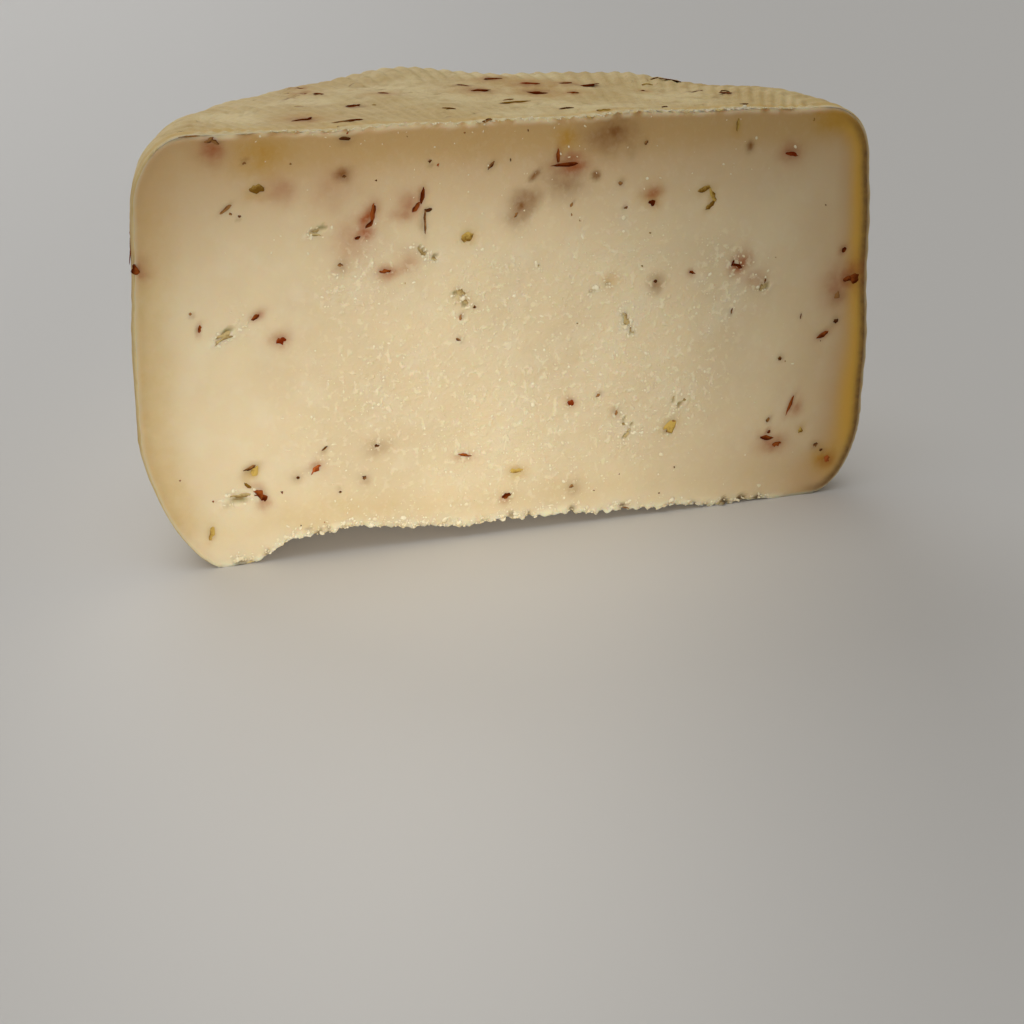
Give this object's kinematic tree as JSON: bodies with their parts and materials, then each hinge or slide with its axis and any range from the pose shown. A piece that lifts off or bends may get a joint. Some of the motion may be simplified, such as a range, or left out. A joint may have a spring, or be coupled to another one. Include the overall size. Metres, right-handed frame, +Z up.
{
  "type": "half wheel of chili pecorino cheese",
  "caption": "Half of a small round sheep's milk cheese with chili flakes, cut down through the middle, with a flat cut face and a ribbed rind.",
  "frame": {"origin": "middle of the box that bounds the half wheel, on the surface it stands on", "axes": "+X along the cut, to the right when looking at the cut face; +Y from the cut face toward the back of the rind; +Z up"},
  "size_m": [0.1504, 0.0762, 0.085],
  "materials": {
    "cheese": "waxy cream paste with dark red flakes, and a dull straw-coloured rind"
  },
  "bodies": {
    "root": {"cheese": "cheese"}
  },
  "joints": []
}
